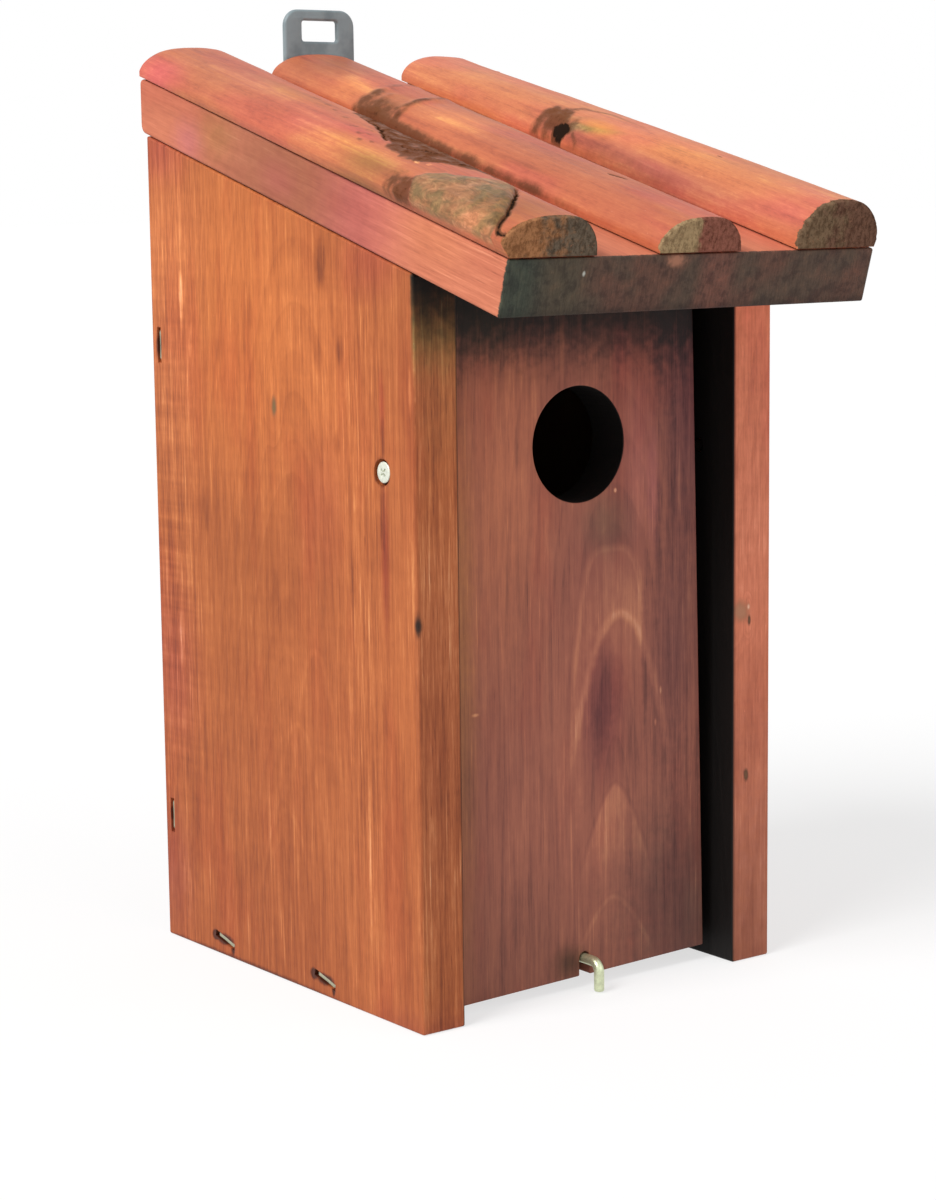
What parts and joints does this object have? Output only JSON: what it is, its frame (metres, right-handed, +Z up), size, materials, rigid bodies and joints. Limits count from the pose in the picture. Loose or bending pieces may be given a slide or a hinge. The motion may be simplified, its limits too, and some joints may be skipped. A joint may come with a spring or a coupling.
{
  "type": "bird nest box",
  "caption": "Wall-hung wooden bird nest box with a round entrance hole in a front that swings open at its foot, a wire hook latch and a sloping roof of half-round logs.",
  "frame": {"origin": "on the underside of the floor board, under the middle of the side boards, both across and from front to back", "axes": "+Z up, -Y towards the front with the entrance hole, +X to the right as seen from the front"},
  "size_m": [0.1284, 0.1818, 0.278],
  "materials": {
    "stained_pine": "reddish-orange stained pine, planed, matt",
    "front_pine": "darker stained pine with a flame grain, matt",
    "log_pine": "stained half-round pine with knots, satin",
    "grey_plastic": "moulded grey plastic, matt",
    "zinc_steel": "zinc-plated steel"
  },
  "bodies": {
    "box": {"side_left": "stained_pine", "side_right": "stained_pine", "back_panel": "stained_pine", "floor_board": "stained_pine", "roof_board": "stained_pine", "roof_log_left": "log_pine", "roof_log_middle": "log_pine", "roof_log_right": "log_pine", "hanger_plate": "grey_plastic", "hanger_screw_upper": "zinc_steel", "hanger_screw_lower": "zinc_steel", "back_staple_left_upper": "zinc_steel", "back_staple_left_lower": "zinc_steel", "back_staple_right_upper": "zinc_steel", "back_staple_right_lower": "zinc_steel", "floor_staple_left_rear": "zinc_steel", "floor_staple_left_front": "zinc_steel", "floor_staple_right_rear": "zinc_steel", "floor_staple_right_front": "zinc_steel", "roof_nail_left_front": "zinc_steel", "roof_nail_left_rear": "zinc_steel", "roof_nail_middle_front": "zinc_steel", "roof_nail_middle_rear": "zinc_steel", "roof_nail_right_front": "zinc_steel", "roof_nail_right_rear": "zinc_steel"},
    "front": {"front_panel": "front_pine", "pivot_screw_left": "zinc_steel", "pivot_screw_right": "zinc_steel"},
    "latch": {"latch_hook": "zinc_steel"}
  },
  "joints": [
    {"name": "front_swing", "type": "hinge", "parent": "box", "child": "front", "pos_m": [0, -0.05115, 0.15009], "axis": [-1, 0, 0], "range_deg": [0, 115]},
    {"name": "hook_turn", "type": "hinge", "parent": "box", "child": "latch", "pos_m": [-0.0003, -0.05, 0.0085], "axis": [0, 1, 0], "range_deg": [-120, 120]}
  ]
}
